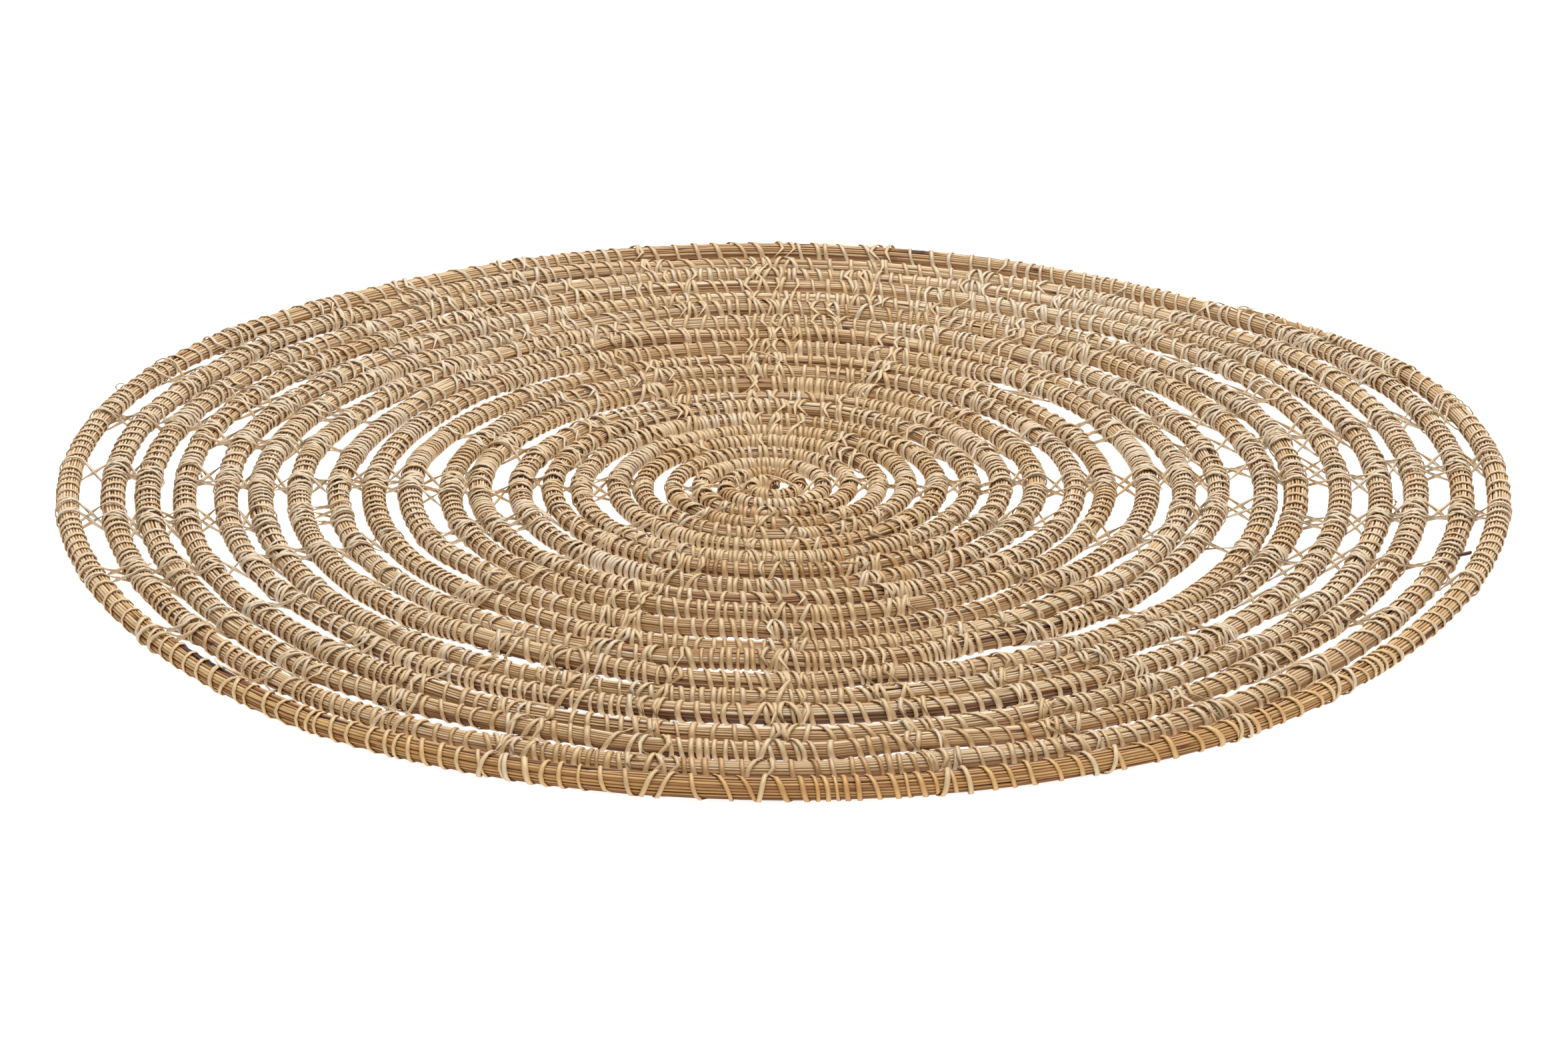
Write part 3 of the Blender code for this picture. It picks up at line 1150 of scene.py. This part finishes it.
# Curls and ends of the cane strip that stand off the coil where they show
STRIP_ENDS = (
    LooseEnd(10.217, ((0, 2.6, 1.6), (-0.6, 3.4, 3.0), (-4.9, -1.6, 4.1), (-10, -9, 3.4))),
    LooseEnd(17.462, ((0, -2.6, 1.8), (0.4, -4.4, 0.9), (0.4, -4.3, -1.2), (0, -3, -1.7))),
    LooseEnd(16.458, ((0, -2.4, 2.0), (0.3, -4.2, 1.2), (0.5, -4.2, -0.6), (0.2, -3, -1.4))),
    LooseEnd(19.407, ((0, 2.2, 2.3), (0.8, 4.5, 2.8), (1.3, 5.0, 1.0), (0.5, 3, -0.2))),
    LooseEnd(15.457, ((0, -2.4, 1.9), (-0.5, -4, 1.4), (-0.8, -4.1, -0.3), (-0.2, -2.9, -1.2))),
    LooseEnd(16.936, ((0, 2.2, 2.0), (1.2, 4.6, 1.8), (1.8, 4.4, 0.1), (0.6, 3, -1.0))),
    LooseEnd(-0.75, ((0, 0.6, 2), (-2.4, -2.2, 2.8), (-4.9, -4.4, 2.9), (-7.3, -6.4, 2.2)), 0.9),
)

# A dark broken stem that sticks out of the coil near its right side
STEM_ENDS = (
    LooseEnd(18.905, ((0, 2.2, 0.7), (0.5, 3.8, 0.9), (1, 5, 1.2), (1.3, 6.1, 1.5)), 0.55, 0.04),
)


@dataclass
class LooseEnds:
    """The few ends that show, and small frayed ones by the stitches."""

    coil: Coil
    lashings: Lashings
    width: float = 1.0 * MM
    thickness: float = 0.34 * MM
    rounded_points: int = 12
    tip: float = 0.5
    frayed: int = 90
    frayed_points: int = 5
    frayed_lengths: tuple = (2.0, 5.5)
    frayed_rise: tuple = (0.3, 1.5)
    frayed_sides: tuple = (math.radians(15), math.radians(165))
    frayed_turn: float = 0.6
    frayed_girths: tuple = (0.55, 1.0)
    frayed_thin: float = 0.45
    frayed_tones: tuple = (0.3, 0.95)
    seed: int = 71

    def _rounded(self, corners: Array) -> Array:
        """A rounded line through its first and last corner and near the others."""
        share = np.linspace(0.0, 1.0, self.rounded_points)[:, None]
        while len(corners) > 1:
            if corners.ndim == 2:
                corners = np.repeat(corners[:, None], self.rounded_points, axis=1)
            corners = corners[:-1] + (corners[1:] - corners[:-1]) * share
        return corners[0]

    def _add(self, paths: Paths, end: LooseEnd) -> None:
        """Add one loose end to the paths."""
        centre, along, out, up = (part[0] for part in self.coil.axes(np.array([end.turn])))
        course = self._rounded(np.array(end.course) * MM)
        points = centre + course @ np.stack([along, out, up])
        ways = np.broadcast_to(up, points.shape)
        girth = np.full(len(points), end.girth)
        girth[-1] *= self.tip
        paths.add(points, ways, np.arange(len(points)) * MM, tone=end.tone, girth=girth)

    def _fray(self, paths: Paths, rng: Generator) -> None:
        """Add the small ends: each starts on the coil and leaves its skin."""
        bands = self.lashings.bands()
        share = np.linspace(0.0, 1.0, self.frayed_points)
        for run in rng.choice(bands, self.frayed, replace=False):
            length = rng.uniform(*self.frayed_lengths) * MM
            length *= rng.choice((-1.0, 1.0))
            rise = rng.uniform(*self.frayed_rise) * MM
            side = rng.uniform(*self.frayed_sides)
            turned = rng.uniform(-self.frayed_turn, self.frayed_turn)
            points, ways = self.coil.surface(
                np.clip(run + length * share, 0.0, self.coil.length),
                side + turned * share, -rise * share ** 2,
            )
            girth = rng.uniform(*self.frayed_girths) * (1.0 - self.frayed_thin * share)
            tone = rng.uniform(*self.frayed_tones)
            paths.add(points, ways, run + length * share, tone=tone, girth=girth)

    def build(self, shop: Workshop, cane: Material, stem: Material) -> None:
        """Make the loose strips and the broken stem.

        Args:
            shop: Makes the pieces.
            cane: The strip's material.
            stem: The stem's material.
        """
        strips, stems = Paths(), Paths()
        for end in STRIP_ENDS:
            self._add(strips, end)
        for end in STEM_ENDS:
            self._add(stems, end)
        self._fray(strips, default_rng(self.seed))
        shop.build("loose_strips", strips, cane, Profile.STRIP, self.width, self.thickness)
        shop.build("loose_stem", stems, stem, Profile.STEM)


@dataclass(frozen=True)
class Studio:
    """The pale floor, the soft lights and the camera."""

    image: tuple = (2352, 1568)
    sensor: float = 36.0
    focal_pixels: float = 8052.0
    distance: float = 1.4275
    elevation: float = math.radians(22.14)
    centre_pixel: tuple = (1152.5, 725.4)
    roll: float = math.radians(-0.169)
    aim_height: float = 0.0030
    floor_size: float = 12.0
    floor_colour: str = "#b6b4b1"
    floor_roughness: float = 0.9
    glow: float = 0.90
    sky: float = 0.54
    lamps: tuple = (
        ("key_light", (0.12, 0.45, 1.62), 1.2, 31.0), ("fill_light", (0.9, -0.9, 1.2), 1.1, 3.0),
    )

    def floor(self) -> None:
        """A wide pale table, lit from within so that the gaps in the mat stay white."""
        half = 0.5 * self.floor_size
        corners = [(x * half, y * half, 0.0) for x, y in ((-1, -1), (1, -1), (1, 1), (-1, 1))]
        mesh = bpy.data.meshes.new("floor")
        mesh.from_pydata(corners, [], [range(4)])
        material = bpy.data.materials.new("pale_floor")
        material.use_nodes = True
        shader = material.node_tree.nodes["Principled BSDF"]
        shader.inputs["Base Color"].default_value = linear(self.floor_colour)
        shader.inputs["Roughness"].default_value = self.floor_roughness
        shader.inputs["Emission Color"].default_value = linear(WHITE)
        shader.inputs["Emission Strength"].default_value = self.glow
        mesh.materials.append(material)
        put("floor", mesh)

    def lamp(self, name: str, place: tuple, size: float, power: float) -> None:
        """A square soft light that faces the mat.

        Args:
            name: Its name.
            place: Where it hangs, in metres.
            size: Length of its side.
            power: Its power in watts.
        """
        data = bpy.data.lights.new(name, "AREA")
        data.shape, data.size, data.energy = "SQUARE", size, power
        lamp = put(name, data)
        lamp.location = place
        lamp.rotation_euler = (-Vector(place)).to_track_quat("-Z", "Y").to_euler()

    def lights(self) -> None:
        """Soft light from all round, and a stronger one from above and behind."""
        world = bpy.data.worlds.new("studio")
        world.use_nodes = True
        sky = world.node_tree.nodes["Background"]
        sky.inputs["Color"].default_value = linear(WHITE)
        sky.inputs["Strength"].default_value = self.sky
        bpy.context.scene.world = world
        for lamp in self.lamps:
            self.lamp(*lamp)

    def camera(self, aim: Vector) -> None:
        """A long-lens camera that puts the spiral's centre on its pixel.

        Args:
            aim: The spiral's centre.
        """
        width, height = self.image
        across = self.centre_pixel[0] - 0.5 * width
        down = self.centre_pixel[1] - 0.5 * height
        yaw = math.atan2(across, self.focal_pixels)
        pitch = math.atan2(down, math.hypot(self.focal_pixels, across))
        stand = Matrix.Rotation(0.25 * FULL_TURN - self.elevation, 4, "X")
        place = Matrix.Translation(aim) @ stand @ Matrix.Translation((0.0, 0.0, self.distance))
        for angle, axis in ((yaw, "Y"), (pitch, "X"), (-self.roll, "Z")):
            place = place @ Matrix.Rotation(angle, 4, axis)
        data = bpy.data.cameras.new("camera")
        data.sensor_width = self.sensor
        data.lens = self.focal_pixels * self.sensor / width
        camera = put("camera", data)
        camera.matrix_world = place
        bpy.context.scene.camera = camera

    def build(self, coil: Coil) -> None:
        """Set up the floor, the lights and the camera round the mat."""
        self.floor()
        self.lights()
        self.camera(Vector(-coil.origin) + Vector((0.0, 0.0, self.aim_height)))
        bpy.context.scene.view_settings.view_transform = "Standard"


def main() -> None:
    """Build the mat and its studio."""
    logging.basicConfig(level=logging.INFO, format="%(name)s: %(message)s")
    coil = Coil()
    shop = Workshop()
    cane, tie, stem, painted_shade_core = (
        finish.build() for finish in (CANE_STRIP, CANE_TIE, GRASS_STEM, PAINTED_SHADE_CORE)
    )
    rows = TieRows(coil)
    lashings = Lashings(coil, rows)
    GrassBundle(coil).build(shop, stem, painted_shade_core)
    CaneWrap(coil, lashings).build(shop, cane)
    lashings.build(shop, tie)
    LooseEnds(coil, lashings).build(shop, cane, stem)
    Studio().build(coil)


if __name__ == "__main__":
    main()
